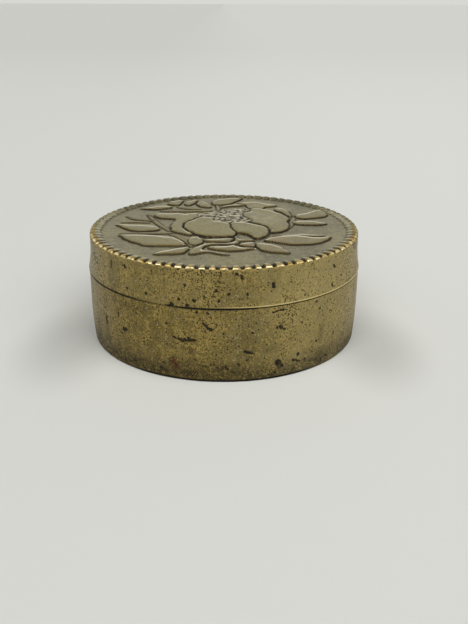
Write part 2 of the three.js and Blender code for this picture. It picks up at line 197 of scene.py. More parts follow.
# A leaf or a bud is a closed outline too, and so is the branch. Later ones overlap earlier ones.
LEAVES = [
    [(15, -10.2), (20, -9.2), (24, -8.4), (27, -9.2), (31, -10.2), (27, -11.4), (19, -11)],
    [(18, 23), (20, 22.5), (21.5, 20), (22.3, 16), (22.5, 12.5), (22, 11.5), (21, 13.5), (19.3, 17.5),
     (17.8, 19.5), (17.3, 21)],
    [(22.3, 5.5), (24, 6.7), (27, 6.9), (29.5, 6.2), (32, 4.5), (33.2, 3.3), (31, 2), (27, 1.8), (24, 2.3),
     (22.5, 3.5)],
    [(23.7, 13), (24.2, 10.5), (26.5, 9.2), (29, 10), (32, 11.3), (34, 12.5), (34.6, 14.5), (34.5, 17),
     (34, 19.2), (32.8, 20.2), (31, 19.8), (29.3, 18), (27, 16), (24.5, 14.5)],
    [(6, 37.8), (0, 36.8), (-3, 34.5), (-4.4, 31.5), (-4, 28.5), (-2.5, 27.5), (0, 28), (2.2, 29.5),
     (4.5, 33), (6.3, 36)],
    [(-1, 24), (0.5, 26.5), (3.5, 28.3), (5, 28.5), (7.3, 27.3), (5, 26), (2, 25.3)],
    [(-19.8, 30), (-19.3, 32.2), (-17, 34), (-15, 34.6), (-14.6, 33), (-15.2, 30), (-16, 27.3),
     (-18, 27.5), (-19.8, 28.8)],
    [(-14, 29), (-13.5, 31.5), (-12, 33.5), (-10.3, 34.5), (-9.5, 33.8), (-10.2, 31), (-11.5, 28),
     (-12.5, 27), (-13.5, 27.5)],
    [(-8.8, 33), (-9.8, 29), (-8.5, 25.8), (-6.5, 24.3), (-4.7, 24.3), (-4.5, 26), (-5.5, 29), (-7, 32),
     (-8.3, 33.5)],
    [(-28.5, 22.8), (-25, 25), (-21, 26.3), (-18.3, 25.2), (-18.3, 24), (-20.5, 22.3), (-24, 21.3),
     (-28, 22.2)],
    [(-34.5, 2.3), (-30, 2.2), (-24, 1.2), (-21.5, 0), (-20.5, -2), (-20.3, -3.5), (-22, -4.8),
     (-26, -5.4), (-29, -4.2), (-31, -2.5), (-33, 0)],
    [(-32, -9), (-28, -8.9), (-22, -9.5), (-18, -11), (-15.5, -11.8), (-13.5, -14.5), (-12, -17),
     (-11.5, -19), (-11.2, -20), (-14, -20.7), (-18, -20.5), (-23, -20.3), (-25, -18.5), (-28, -16),
     (-30, -13.5), (-31.3, -11)],
    [(-20, -28), (-18.5, -26), (-15.5, -24), (-12.5, -22.3), (-10.8, -22), (-10.2, -23.2), (-11, -26),
     (-12, -27.6), (-15, -28.3), (-18.5, -28.5)],
    [(12, -14.8), (13.5, -12.8), (16, -11), (19, -10.2), (22, -9.9), (25, -11), (27.5, -11.9), (30, -11.8),
     (32.5, -11), (31.5, -14), (29.5, -16.5), (27, -18.5), (24, -19.3), (20, -19.2), (17, -18),
     (14, -16.5), (12.2, -15.5)],
    [(-5.5, -13.8), (2.5, -13.2), (2, -15.5), (1, -16.8), (-5, -16.3)],
    [(-4.7, -22.5), (-4, -21.2), (0, -21), (2.5, -19.9), (3.5, -20.7), (5, -22), (8.5, -22.8), (9.3, -23),
     (7, -24.3), (4, -25.3), (1, -25.4), (-2, -24.4), (-4, -23.3)],
    [(4.4, -19.3), (5.5, -17.8), (8.8, -16.9), (9.2, -18.5), (8.8, -21.3), (6.5, -21.2), (4.8, -20.2)],
    [(9.4, -17.8), (12.5, -18.3), (15, -20), (17, -22.3), (18, -25), (18.7, -27.6), (16, -27.3),
     (13.5, -26.6), (11, -25), (9.8, -22.5), (9.3, -20)],
    [(-10, -28), (-9.5, -25), (-8.3, -22), (-6.5, -19.5), (-4.5, -18.2), (0, -18), (2.2, -17), (3.2, -15),
     (3, -12), (3.6, -10.5), (4.2, -12), (5, -14), (8, -14.5), (9, -14.6), (8.5, -15.7), (5, -15.9),
     (4.5, -17.5), (3.5, -19), (2.5, -19.3), (-1, -19.4), (-4, -19.8), (-6, -22), (-6.3, -23.8),
     (-5.8, -24.8), (-3, -26), (0, -27.5), (1.5, -29), (-1.5, -28.3), (-4, -26.6), (-5.5, -26.8),
     (-7.5, -28), (-9, -28.6)],
    [(-8.6, -11), (-10.5, -13), (-10.9, -15), (-10.4, -18), (-9.3, -19.7), (-8, -19.6), (-6.5, -17.5),
     (-6.4, -15), (-7.3, -12.5)],
]

# A stem is a stroke of (x, y, half-width) points.
STEMS = [
    [(-16.6, -8.2, 0.4), (-13.8, -11.4, 0.6), (-11.4, -15.6, 0.6), (-9.6, -20.8, 0.5)],
    [(-32, -7.2, 0.3), (-26, -7, 0.8), (-20, -7.1, 0.9), (-16.6, -6.8, 0.4)],
    [(-33, 5.2, 0.3), (-29, 5.9, 1), (-24.6, 5.4, 0.7)],
    [(-25.5, 14.6, 0.3), (-23, 8, 0.75), (-20.5, 2, 0.75), (-17.2, -4.2, 0.5)],
    [(-32.4, 12.6, 0.3), (-30, 9.7, 0.5), (-26.4, 8.2, 0.6), (-23.4, 7.4, 0.4)],
    [(-16, 25, 0.5), (-12.4, 22.8, 0.7), (-8.5, 22.2, 0.6)],
    [(-21.4, 19.4, 0.4), (-16, 19.6, 1), (-10, 19.8, 1.1), (-4.6, 19.6, 0.9)],
    [(-2.6, 27, 0.5), (-2, 23.4, 0.7), (-2.2, 20, 0.7), (-3.6, 17.8, 0.7), (-7.6, 17, 0.5)],
    [(23, 10, 0.6), (22.2, 6.4, 0.8), (21.6, 2, 0.5), (20.6, -1.4, 0.3)],
]
LEAF_RISE = 0.44
STEM_RISE = 0.34
DRAWN_FIELD = 38.5
CURVE_STEPS = 6

STAMEN_BED = [(-8.4, 15.8), (-5, 18.4), (-2, 20), (2, 22.2), (8, 22.6), (9.6, 20), (7.6, 15), (8.6, 10),
              (10, 6.5), (6, 4.6), (2, 4.4), (-2, 5), (-4.4, 8), (-6.6, 10.6), (-8.6, 12.6)]

# The stamens are wavy strands across their bed, which lies over the first petals.
PETALS_UNDER = 2
BED_RISE = 0.24
STRAND_RISE = 0.16


def finite_curve(points, steps, closed):
    """Points of a smooth curve through the given ones, with its width column carried along."""
    points = np.asarray(points, float)
    count = len(points)
    if closed:
        rows = [np.roll(points, shift, axis=0) for shift in (1, 0, -1, -2)]
        spans = count
    else:
        padded = np.vstack([2 * points[0] - points[1], points, 2 * points[-1] - points[-2]])
        rows = [padded[i:i + count - 1] for i in range(4)]
        spans = count - 1
    t = (np.arange(steps) / steps)[None, :, None]
    before, start, end, after = (row[:spans, None, :] for row in rows)
    curve = 0.5 * (2 * start + (end - before) * t + (2 * before - 5 * start + 4 * end - after) * t ** 2
                   + (3 * start - before - 3 * end + after) * t ** 3)
    curve = curve.reshape(-1, points.shape[1])
    return curve if closed else np.vstack([curve, points[-1]])


def smooth(value, low, high):
    """Eased step from 0 at the low end to 1 at the high end."""
    t = np.clip((value - low) / (high - low), 0, 1)
    return t * t * (3 - 2 * t)


def near(x, y, points, margin):
    """Indices of the places that lie within a margin of the points' bounding box."""
    low = points[:, :2].min(axis=0) - margin
    high = points[:, :2].max(axis=0) + margin
    return np.nonzero((x > low[0]) & (x < high[0]) & (y > low[1]) & (y < high[1]))[0]


def nearest_on(x, y, start, end):
    """Share of the way along a segment to the point nearest each place, and the distance to it."""
    along = end[:2] - start[:2]
    share = ((x - start[0]) * along[0] + (y - start[1]) * along[1]) / max(along @ along, 1e-12)
    share = np.clip(share, 0, 1)
    return share, np.hypot(x - start[0] - share * along[0], y - start[1] - share * along[1])


def outline_distance(x, y, outline):
    """Distance in from a closed outline, and how squarely its nearest point lies behind.

    The distance is negative outside the outline.
    """
    distance = np.full(len(x), 1e9)
    behind = np.zeros(len(x))
    inside = np.zeros(len(x), bool)
    for start, end in zip(outline, np.roll(outline, -1, axis=0)):
        along = end - start
        share, gap = nearest_on(x, y, start, end)
        closer = gap < distance
        behind = np.where(closer, (start[1] + share * along[1] - y) / np.maximum(gap, 1e-6), behind)
        distance = np.where(closer, gap, distance)
        if start[1] != end[1]:
            crosses = (start[1] > y) != (end[1] > y)
            inside ^= crosses & (x < start[0] + (y - start[1]) * along[0] / along[1])
    return np.where(inside, distance, -distance), behind


def stroke_distance(x, y, stroke):
    """Distance in from the edge of a stroke of (x, y, half-width) points, and its half-width there."""
    best = np.full(len(x), -1e9)
    half = np.full(len(x), 0.1)
    for start, end in zip(stroke[:-1], stroke[1:]):
        share, gap = nearest_on(x, y, start, end)
        width = start[2] + share * (end[2] - start[2])
        inward = width - gap
        half = np.where(inward > best, width, half)
        best = np.maximum(best, inward)
    return best, half


class Relief:
    """Heights of the lid's face in millimetres above its field, and what its finish follows.

    That is the shares of chased line, of stamen bed and of painted highlight along the back of a form.
    """

    def __init__(self, x, y, sizes):
        self.x = x
        self.y = y
        self.line_width = sizes.line_width
        self.steep = sizes.steep
        self.height, self.line, self.bed, self.rim = np.zeros((4, len(x)))

    def lay(self, places, inward, rise, slope, behind=0):
        """Raises a form over what lies under it and chases a line round it."""
        level = 1 - np.clip(inward / slope, 0, 1)
        pillow = rise * (self.steep + (1 - self.steep) * np.sqrt(np.clip(1 - level * level, 0, 1)))
        under = self.height[places]
        inside = inward > 0
        self.bed[places] *= ~inside
        # The rim is a painted highlight along a form's back edge, where its outline lies behind it.
        rim = smooth(inward / np.maximum(behind, 0.05), 1.9, 1.35) * smooth(behind, 0.15, 0.55)
        self.rim[places] = np.where(inside, rim, self.rim[places])
        pillow = np.maximum(pillow, np.minimum(under, pillow + 0.06))
        self.height[places] = np.where(inside, pillow, under)
        width = self.line_width
        groove = smooth(inward, -1.2 * width, -0.4 * width) * (1 - smooth(inward, -0.2 * width, 0.2 * width))
        self.line[places] = np.where(inward > 0.7 * width, 0, np.maximum(self.line[places], groove))

    def outline(self, points, rise, slope):
        """Lays a form with the closed outline given, which a hand would have cut a little unevenly."""
        edge = finite_curve(points, CURVE_STEPS, closed=True)
        away = np.roll(edge, -1, axis=0) - np.roll(edge, 1, axis=0)
        length = np.maximum(np.linalg.norm(away, axis=1), 1e-6)
        away = np.stack([away[:, 1], -away[:, 0]], axis=1) / length[:, None]
        edge += away * (0.07 * np.sin(0.8 * np.arange(len(edge)) + points[0][0]))[:, None]
        places = near(self.x, self.y, edge, 1.2)
        inward, behind = outline_distance(self.x[places], self.y[places], edge)
        self.lay(places, inward, rise, slope, behind)

    def stroke(self, points, rise, slope):
        """Lays a stem, lower where it is narrow."""
        path = finite_curve(points, CURVE_STEPS, closed=False)
        path[:, 2] = np.maximum(path[:, 2], 0.05)
        places = near(self.x, self.y, path, 1.2 + path[:, 2].max())
        inward, half = stroke_distance(self.x[places], self.y[places], path)
        top = rise * np.clip(0.45 + half / (2 * slope), 0, 1)
        self.lay(places, inward, top, np.minimum(slope, half * 0.9))


def ring_radii(rings, sizes):
    """Radius of each ring of the plate's face, and its turn over the rounded edge, from the edge inwards."""
    crown = sizes.crown
    turn = np.linspace(0, math.pi / 2, EDGE_RINGS + 1)[:-1]
    edge = crown - sizes.shoulder * (1 - np.cos(turn))
    border = np.linspace(crown - sizes.shoulder, DRAWN_FIELD - 0.4, BORDER_RINGS)
    inside = np.linspace(border[-1], 0, rings - EDGE_RINGS - BORDER_RINGS + 2)[1:]
    flat = np.full(rings + 1 - EDGE_RINGS, math.pi / 2)
    return np.concatenate([edge, border, inside]), np.concatenate([turn, flat])


def front_share(angle):
    """1 at the front of the lid and 0 at its back."""
    return 0.5 - 0.5 * np.sin(angle)


def border_height(radius, angle, turn, sizes):
    """Height of the notched border above the field, and its shares of lobe and of pit dirt, darkened at the
    front as painted shade.

    A lobe has a round inner end, and a pit lies behind the lip of each notch. Both fade towards the back.
    """
    random = np.random.default_rng(7)
    pitch = 2 * math.pi / sizes.teeth
    strays = random.uniform(-1, 1, sizes.teeth) * sizes.unevenness * pitch
    notches = (np.arange(sizes.teeth) + 0.5) * pitch - math.pi / 2 + strays
    notches = np.concatenate([[notches[-1] - 2 * math.pi], notches, [notches[0] + 2 * math.pi]])
    around = (angle + math.pi / 2 + pitch / 2) % (2 * math.pi) - math.pi / 2 - pitch / 2
    after = np.clip(np.searchsorted(notches, around), 1, len(notches) - 1)
    low, high = notches[after - 1], notches[after]
    mid_radius = sizes.crown - sizes.width / 2
    half = (high - low) / 2 * mid_radius - sizes.notch / 2
    side = np.abs(around - (low + high) / 2) * np.minimum(radius, mid_radius + 1)
    jitter = np.concatenate([random.uniform(-0.22, 0.22, sizes.teeth), [0, 0]])
    inner = sizes.crown - sizes.width + half + jitter[(after - 1) % sizes.teeth]
    reach = np.where(radius > inner, side, np.hypot(side, radius - inner))
    inward = np.clip((half - reach) / 0.5, 0, 1)
    lobe = np.sqrt(np.clip(1 - (1 - inward) ** 2, 0, 1))
    edge = sizes.rise - sizes.shoulder * (1 - np.sin(turn))
    climb = np.clip((radius - sizes.crown + sizes.width) / (sizes.width - sizes.shoulder - 0.1), 0, 1)
    facing = front_share(angle)
    root = sizes.root * (0.12 + 0.88 * smooth(facing, 0.1, 0.6))
    crest = np.minimum(edge, root + (sizes.rise - root) * smooth(climb, -0.2, 0.9))
    lip = smooth(radius, sizes.crown - 1, sizes.crown - 0.5)
    pit = -0.32 * smooth(radius, sizes.crown - 3.2, sizes.crown - 1.9)
    pit = pit * (0.15 + 0.85 * smooth(facing, 0.1, 0.5))
    notch = pit + (edge - sizes.dip * (0.35 + 0.65 * facing) - pit) * lip
    pit_dirt_and_shade = (1 - smooth(lobe, 0.35, 0.8)) * smooth(-pit, 0.02, 0.16)
    # The pits' dirt is darker towards the front as painted shade.
    pit_dirt_and_shade = pit_dirt_and_shade * (0.2 + 0.8 * smooth(facing, 0.2, 0.7))
    return notch + (crest - notch) * lobe, lobe, pit_dirt_and_shade * (1 - lip)


def random_waves(seed, count, shortest, longest, x, y):
    """Yields sine waves over the lid, each with its own direction, length and phase."""
    random = np.random.default_rng(seed)
    full = 2 * math.pi
    for _ in range(count):
        way, size, phase = random.uniform(0, full), random.uniform(shortest, longest), random.uniform(0, full)
        yield np.sin((x * math.cos(way) + y * math.sin(way)) * 2 * math.pi / size + phase)


def strand_wave(x, y):
    """Wave of the stamens' short strands, above 0 on them and below 0 in the gaps.

    Those at the lower right rise. The cross wave cuts the strands to lengths of about 3 mm.
    """
    rising = smooth(x, 0, 6) * smooth(y, 13, 8)
    phase = 3.8 * (y - 0.8 * rising * x) + 0.5 * x
    cross = 2.1 * x - 1.3 * y
    for swell in random_waves(5, 8, 3.5, 9, x, y):
        phase += 0.65 * swell
        cross += 0.8 * swell
    return np.sin(phase) + 0.65 * np.sin(cross) - 0.1


def relief_heights(x, y, sizes):
    """Heights of the flower spray, its shares of line, stamen bed and painted rim highlight, and the stamens'
    wave.
    """
    relief = Relief(x, y, sizes)
    slope = sizes.slope
    for stem in STEMS:
        relief.stroke(stem, STEM_RISE, slope)
    for leaf in LEAVES:
        relief.outline(leaf, LEAF_RISE, slope)
    for rise, petal in PETALS[:PETALS_UNDER]:
        relief.outline(petal, rise, slope)
    relief.outline(STAMEN_BED, BED_RISE, slope)
    bed = finite_curve(STAMEN_BED, CURVE_STEPS, closed=True)
    places = near(x, y, bed, 0)
    relief.bed[places] = smooth(outline_distance(x[places], y[places], bed)[0], 0, 0.3)
    ripple = strand_wave(x, y)
    relief.height += relief.bed * STRAND_RISE * (smooth(ripple, -0.6, 0.5) - 0.5)
    for rise, petal in PETALS[PETALS_UNDER:]:
        relief.outline(petal, rise, slope)
    swell = np.zeros(len(x))
    for wave in random_waves(3, 14, 6, 16, x, y):
        swell += 0.006 * wave
    height = relief.height - sizes.line_depth * relief.line + swell
    return height, relief.line, relief.bed, relief.rim, ripple


def blurred(grid, reach):
    """The grid averaged over squares of the given reach."""
    for axis in (0, 1):
        padded = np.pad(grid, [(reach, reach) if i == axis else (0, 0) for i in (0, 1)], mode="edge")
        sums = np.cumsum(padded, axis=axis)
        sums = np.insert(sums, 0, 0, axis=axis)
        width = 2 * reach + 1
        upper = np.take(sums, range(width, sums.shape[axis]), axis=axis)
        lower = np.take(sums, range(0, sums.shape[axis] - width), axis=axis)
        grid = (upper - lower) / width
    return grid


def deselect():
    if bpy.context.object and bpy.context.object.mode != "OBJECT":
        bpy.ops.object.mode_set(mode="OBJECT")
    bpy.ops.object.select_all(action="DESELECT")


def named(name):
    piece = bpy.context.object
    piece.name = name
    piece.data.name = name
    return piece


def turn_piece(name, profile, steps, ring=True):
    """Turns (radius, height) points about Z, as a ring that closes on itself or as a closed disc."""
    deselect()
    (radius, height), *rest = profile
    bpy.ops.mesh.primitive_circle_add(vertices=steps, radius=radius, fill_type="NOTHING" if ring else "NGON",
                                      location=(0, 0, height))
    piece = named(name)
    bpy.ops.object.transform_apply(location=True, rotation=True, scale=True)
    bpy.ops.object.mode_set(mode="EDIT")
    bpy.ops.mesh.select_all(action="SELECT")
    for next_radius, next_height in rest + [profile[0]] * ring:
        bpy.ops.mesh.extrude_region_move(TRANSFORM_OT_translate={"value": (0, 0, next_height - height)})
        factor = next_radius / radius
        bpy.ops.transform.resize(value=(factor, factor, 1), center_override=(0, 0, next_height))
        radius, height = next_radius, next_height
    bpy.ops.mesh.select_all(action="SELECT")
    bpy.ops.mesh.remove_doubles(threshold=1e-6)
    bpy.ops.mesh.normals_make_consistent(inside=False)
    bpy.ops.object.mode_set(mode="OBJECT")
    bpy.ops.object.shade_smooth_by_angle(angle=TURNED_ANGLE)
    return piece


def vertex_rows(mesh, name):
    """Three numbers for each vertex: its place for "co" or its direction for "normal"."""
    rows = np.empty(len(mesh.vertices) * 3)
    mesh.vertices.foreach_get(name, rows)
    return rows.reshape(-1, 3)


def move_vertices(mesh, places):
    mesh.vertices.foreach_set("co", places.ravel())
    mesh.update()


def make_uneven(piece, least_radius):
    """Gives the outside of a turned piece the slight unevenness of work that was shaped by hand."""
    points = vertex_rows(piece.data, "co")
    radius = np.hypot(points[:, 0], points[:, 1])
    angle = np.arctan2(points[:, 1], points[:, 0])
    random = np.random.default_rng(11)
    shift = np.zeros(len(points))
    for waves in (2, 3, 5, 8, 13, 19):
        phase, rate = random.uniform(0, 2 * math.pi), random.uniform(-90, 90)
        shift += HAND_DEPTH * np.sin(waves * angle + phase + rate * points[:, 2]) / math.sqrt(waves)
    factor = 1 + np.where(radius > least_radius, shift, 0) / np.maximum(radius, MM)
    points[:, :2] *= factor[:, None]
    move_vertices(piece.data, points)


def finish_piece(piece, body, nodes, outer, inner=None, is_inner=None):
    """Gives a piece its materials, the body that it rides on and the nodes that it stands for."""
    looks = finishes(bpy.context)
    piece.data.materials.clear()
    piece.data.materials.append(looks[outer])
    if inner:
        piece.data.materials.append(looks[inner])
        for face in piece.data.polygons:
            face.material_index = int(is_inner(face))
    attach(piece, body)
    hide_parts(*nodes)


def arithmetic(operation):
    """A method that adds the maths node of an operation on a wire and another wire or number."""
    return lambda wire, other: wire.graph.math(operation, wire, other)


class Wire:
    """A socket of a material's nodes that takes part in arithmetic."""

    def __init__(self, graph, socket):
        self.graph = graph
        self.socket = socket

    __add__ = __radd__ = arithmetic("ADD")
    __sub__ = arithmetic("SUBTRACT")
    __mul__ = __rmul__ = arithmetic("MULTIPLY")
    __truediv__ = arithmetic("DIVIDE")
    __pow__ = arithmetic("POWER")

    def __rsub__(self, other):
        return self.graph.math("SUBTRACT", other, self)

    def __abs__(self):
        return self.graph.math("ABSOLUTE", self)


class Graph:
    """The nodes of one material or world, whose patterns follow the coordinates given."""

    def __init__(self, owner, shader="Principled BSDF", coordinates="Object"):
        self.material = owner
        owner.use_nodes = True
        self.nodes = owner.node_tree.nodes
        self.links = owner.node_tree.links
        self.shader = self.nodes[shader]
        self.place = self.node("ShaderNodeTexCoord", output=coordinates)
        self.x, self.y, self.z = self.split(self.place)

    def node(self, kind, values=None, output=0, **settings):
        """Adds a node with its settings, then the values or links of its sockets."""
        made = self.nodes.new(kind)
        for name, setting in settings.items():
            setattr(made, name, setting)
        for name, value in (values or {}).items():
            self.feed(made.inputs[name], value)
        return Wire(self, made.outputs[output])

    def feed(self, socket, value):
        if isinstance(value, Wire):
            self.links.new(value.socket, socket)
        else:
            socket.default_value = value

    def shade(self, **values):
        for name, value in values.items():
            self.feed(self.shader.inputs[name.replace("_", " ")], value)

    def math(self, operation, *values):
        return self.node("ShaderNodeMath", dict(enumerate(values)), operation=operation)

    def largest(self, first, *others):
        for other in others:
            first = self.math("MAXIMUM", first, other)
        return first

    def split(self, vector):
        return tuple(self.node("ShaderNodeSeparateXYZ", {0: vector}, output=axis) for axis in range(3))

    def step(self, value, low, high):
        """Eased step from 0 at the low end to 1 at the high end."""
        values = {"Value": value, "From Min": low, "From Max": high}
        if low > high:
            values = {"Value": value, "From Min": high, "From Max": low, "To Min": 1.0, "To Max": 0.0}
        return self.node("ShaderNodeMapRange", values, interpolation_type="SMOOTHSTEP")

    def mix(self, factor, first, second):
        """The first colour where the factor is 0 and the second where it is 1."""
        first, second = (value if isinstance(value, Wire) else (*value, 1) for value in (first, second))
        return self.node("ShaderNodeMix", {0: factor, 6: first, 7: second}, output=2, data_type="RGBA")

    def vector(self, operation, first, second):
        output = 1 if operation in ("DISTANCE", "DOT_PRODUCT") else 0
        return self.node("ShaderNodeVectorMath", {0: first, 1: second}, output=output, operation=operation)

    def scaled(self, vector, factor):
        return self.node("ShaderNodeVectorMath", {0: vector, "Scale": factor}, operation="SCALE")

    def stretched(self, stretch):
        return self.vector("MULTIPLY", self.place, stretch)

    def radius(self):
        """Distance from the box's axis."""
        return self.math("SQRT", self.x * self.x + self.y * self.y)

    def paint(self, colour, *layers):
        """The colour with each (share, shade) layer laid over it in turn."""
        for share, shade in layers:
            colour = self.mix(share, colour, shade)
        return colour

    def noise(self, size, detail=3.0, rough=0.55, stretch=None):
        """Noise whose features are about the given size across, in metres."""
        place = self.stretched(stretch) if stretch else self.place
        values = {"Vector": place, "Scale": 1 / size, "Detail": detail, "Roughness": rough}
        return self.node("ShaderNodeTexNoise", values)

    def specks(self, spacing, share, size):
        """Round specks in a share of the cells of the given spacing, each up to the size given."""
        values = {"Vector": self.place, "Scale": 2.2 / spacing, "Detail": 2.0}
        jolt = self.node("ShaderNodeTexNoise", values, output=1)
        place = self.vector("ADD", self.place, self.scaled(jolt, 0.5 * spacing))
        values = {"Vector": place, "Scale": 1 / spacing}
        distance = self.node("ShaderNodeTexVoronoi", values)
        cell = self.node("ShaderNodeTexVoronoi", values, output=1)
        pick, scale, _ = self.split(cell)
        radius = size / spacing * (0.35 + 0.65 * scale)
        return self.step(distance / radius, 1.0, 0.55) * self.step(pick, share, share - 0.02)

    def attribute(self, name):
        return self.node("ShaderNodeAttribute", output="Fac", attribute_name=name)

    def bump(self, height, distance, strength=1.0):
        return self.node("ShaderNodeBump", {"Height": height, "Distance": distance, "Strength": strength})


def marks_on(graph, place, marks):
    """Least distance beyond the edges of marks, each with one or two ends and a half-width."""
    least = None
    for *ends, width in marks:
        start, end = Vector((*ends[:2], 0)), Vector((*ends[-2:], 0))
        along = end - start
        away = graph.vector("SUBTRACT", place, start)
        nearest = (0, 0, 0)
        if along.length > 0:
            share = graph.vector("DOT_PRODUCT", away, along / along.length_squared)
            nearest = graph.scaled(along, graph.node("ShaderNodeClamp", {0: share}))
        beyond = graph.vector("DISTANCE", away, nearest) - width
        least = graph.math("MINIMUM", least, beyond) if least else beyond
    return least


# Scratches and stains of the wall as (arc, height, arc, height, half-width), and round ones as (arc, height,
# radius), in millimetres from the front and the foot.
WALL_MARKS = [
    (-14.5, 13.4, -12.9, 13, 0.28), (-13, 13.1, -11.7, 12.5, 0.4), (-11.9, 12.6, -8.2, 13, 0.42),
    (-11.3, 13.1, -11.2, 12.7, 0.32), (-10, 13.4, -9.9, 12.9, 0.32), (-8.5, 7.1, -8, 6.8, 0.32),
    (-11.2, 4.7, -10.6, 4.6, 0.3), (-7.6, 5.6, -7, 5.4, 0.32), (-5.9, 5.1, -4.9, 5, 0.36),
    (-3.7, 5.6, -2.8, 5.8, 0.36), (-1.7, 3.7, 0.2, 5.2, 0.42), (-2.2, 4.7, -1.4, 4.4, 0.32),
    (-38.1, 2.8, -36.2, 2.9, 0.7), (-34, 1.9, -33.6, 1.5, 0.5), (-32.2, 2, -31.5, 1.1, 0.55),
    (-27.7, 4, -26.9, 3.6, 0.5), (-28, 2.7, -27.2, 1.4, 0.85), (-25.2, 2.6, -24.4, 1.4, 0.6),
    (-21.7, 2.9, -21.2, 1.9, 0.4), (-18, 4.9, -17.2, 4.5, 0.32), (-18.6, 2.9, -16.8, 2.2, 0.6),
    (-14.4, 2.9, -13.9, 1.2, 0.65), (-23.6, 4.5, 0.4), (-25.3, 6.2, 0.3), (-1.2, 0.8, 0, 0.9, 0.3),
    (5.6, 9.7, 7.6, 9.1, 0.36), (21.9, 6.4, 0.6), (20.4, 4.9, 22.5, 4.1, 0.42),
    (24.5, 4.2, 24.8, 3.6, 0.5), (15.4, 5.1, 16.3, 3.7, 0.95), (19.9, 0.9, 20.8, 2.2, 0.34),
    (14.1, 1.6, 14.8, 2, 0.34), (11, 1.2, 11.4, 1, 0.42), (12.8, 1.5, 13.7, 1.1, 0.34),
    (2, 3.7, 2.8, 3.1, 0.42), (0.5, 4.6, 0.8, 4.4, 0.4), (1.4, 1, 1.8, 0.9, 0.34),
    (32.9, 3, 33.7, 2.6, 0.42), (26.5, 3.2, 28.4, 3.1, 0.45), (29.2, 2.8, 31, 1.8, 1), (35, 4.6, 0.34),
    (47.9, 3.4, 48.4, 2.7, 0.45), (36.3, 9.1, 0.42), (28.5, 8.9, 0.36), (7.8, 15.4, 0.42),
    (3.8, 5.7, 4.1, 5.5, 0.42), (7.3, 2.2, 7.5, 1.2, 0.5), (17.7, 2.4, 0.4),
    (-37.1, 31.5, -37.3, 29.2, 0.26), (-30.8, 31.2, -30.7, 30.9, 0.42), (-22.8, 24.9, -22.6, 24.8, 0.42),
    (-14.8, 23.3, -14.4, 22.9, 0.5), (-15.8, 22.6, -14.1, 22.8, 0.3), (-10.2, 23.2, -9.9, 23.5, 0.5),
    (-8.3, 24.8, -8, 24.7, 0.5), (-10.9, 28.8, 0.4), (-12.6, 24.7, 0.4), (-2.2, 27.7, 0.45),
    (-1.4, 24.7, 0.45), (-29.8, 25, 0.42), (-40.6, 13, -40.6, 10.9, 0.42), (-31.9, 11.9, -30.7, 12, 0.55),
    (-4.6, 21.2, -4.3, 21.2, 0.4), (-16.4, 17.2, 0.42), (-33.9, 16.4, -33.8, 15.4, 0.28),
    (-5.7, 18.1, -5.2, 17.6, 0.4), (-4.8, 17.2, -3.5, 16.3, 0.42), (-7.5, 21.4, 0.34),
    (4.7, 31.6, 4.9, 31, 0.42), (3.3, 32.4, 3.6, 32.1, 0.36), (13.7, 28.7, 13.9, 28, 0.5),
    (1.2, 26.7, 0.45), (15.7, 21.2, 16.6, 21.2, 0.34), (13.6, 20.7, 15.1, 21, 0.24),
    (34.6, 24.7, 34.8, 24.3, 0.34), (39.8, 26.3, 0.36), (35.7, 30.1, 36, 29.8, 0.4), (14.9, 16, 0.4),
    (15.8, 16.1, 16.3, 15.7, 0.4), (17.2, 15.2, 0.42), (27.8, 21.2, 0.36), (29.3, 18.9, 0.34),
    (6.3, 26.6, 6.5, 26.2, 0.34),
]
HATCH = [(-12.8, 2.1, -11, 3.4, 0.1), (-11.9, 1.9, -10.2, 3.3, 0.12), (-10.8, 1.7, -9.4, 3.3, 0.14),
         (-10, 1.8, -8.8, 3.2, 0.13), (-9.2, 1.6, -8.1, 3.1, 0.12), (-8.3, 1.6, -7.5, 2.8, 0.1)]
SMEARS = [(-22.5, 9.5, -22, 9.2, 1.6), (-9, 9.6, -9.5, 9.2, 0.9), (11.6, 9.2, 14.2, 10, 1),
          (-26, 5.8, -24, 6, 1.2), (-41, 9, -40, 6, 1.4), (24, 6.4, 28, 5, 1.4), (30, 9, 30.5, 13, 1.2)]


# Radius at which distances along the wall are measured.
ARC_RADIUS = 42.6

# Shades of the finish, beside those that a property group holds.
GLINT = (0.62, 0.5, 0.24)
PALE_BRASS = (0.58, 0.47, 0.21)
GREY_BRASS = (0.32, 0.28, 0.19)
SEAM_LIGHT = (0.85, 0.69, 0.33)
RUST = (0.34, 0.1, 0.035)
FIELD_DARK = (0.215, 0.19, 0.107)
FIELD_LIGHT = (0.345, 0.3, 0.16)
FORM_BRASS = (0.345, 0.292, 0.108)
GRAIN_LIGHT = (0.47, 0.41, 0.235)
GRAIN_DARK = (0.17, 0.135, 0.07)
# Painted warm shade of the slopes that face the front.
FRONT_SLOPE_SHADE = (0.28, 0.195, 0.055)
# Painted highlight on the forms' back edges, and the pale polish of the stamens' strands.
PALE_POLISH_AND_HIGHLIGHT = (0.95, 0.88, 0.68)
STRAND_DULL = (0.6, 0.53, 0.36)
PETAL_PALE = (0.5, 0.45, 0.3)
# Painted highlight on the teeth's inner ends.
TOOTH_END_HIGHLIGHT = (0.66, 0.61, 0.47)
# Teeth and notch lips gold at the front as painted light over rubbed brass, and the border's back edge in
# painted shade.
TOOTH_DARK = (0.32, 0.2, 0.04)
TOOTH_GOLD = (0.85, 0.6, 0.16)
NOTCH_GOLD = (0.42, 0.28, 0.07)
BACK_EDGE_SHADE = (0.085, 0.08, 0.03)
TURNED_LIGHT = (0.5, 0.39, 0.17)
TURNED_DARK = (0.3, 0.23, 0.1)
SOLDER_DARK = (0.2, 0.18, 0.14)
BLACK = (0, 0, 0)

# Reddish patches on the lid as (x, y, radius) in millimetres.
COPPER_PATCHES = [(17, -14, 7), (7, -19.5, 3.5), (30, -15, 4), (14.5, -23, 5)]
RUST_SPOT = [(-14.6, 6, -13.8, 4, 0.8)]


